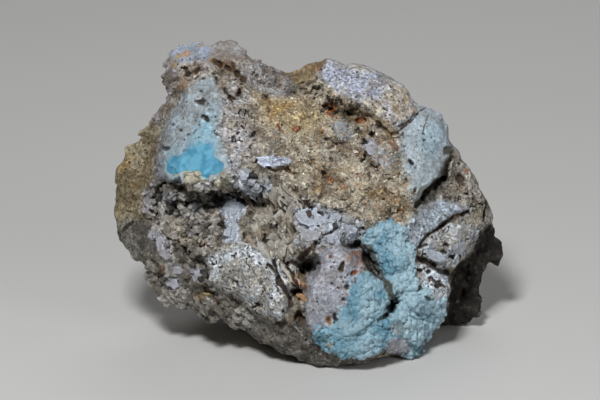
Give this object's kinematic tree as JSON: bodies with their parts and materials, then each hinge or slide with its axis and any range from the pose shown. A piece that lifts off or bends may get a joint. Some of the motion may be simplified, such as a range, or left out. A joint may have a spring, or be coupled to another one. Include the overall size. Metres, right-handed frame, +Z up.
{
  "type": "hemimorphite mineral specimen",
  "caption": "Rough hand specimen of hemimorphite: a leaning, pitted block of pale rock with a rounded blue crust, resting on the flat of its underside.",
  "frame": {"origin": "on the resting surface, under the middle of the stone's box", "axes": "+Z up, +X to the right along the display face, +Y to the back; the display face looks along -Y and leans back"},
  "size_m": [0.0985, 0.0627, 0.0704],
  "materials": {
    "hemimorphite_rock": "rough, matt, broken rock with a fine-grained blue crust"
  },
  "bodies": {
    "root": {"hemimorphite": "hemimorphite_rock"}
  },
  "joints": []
}
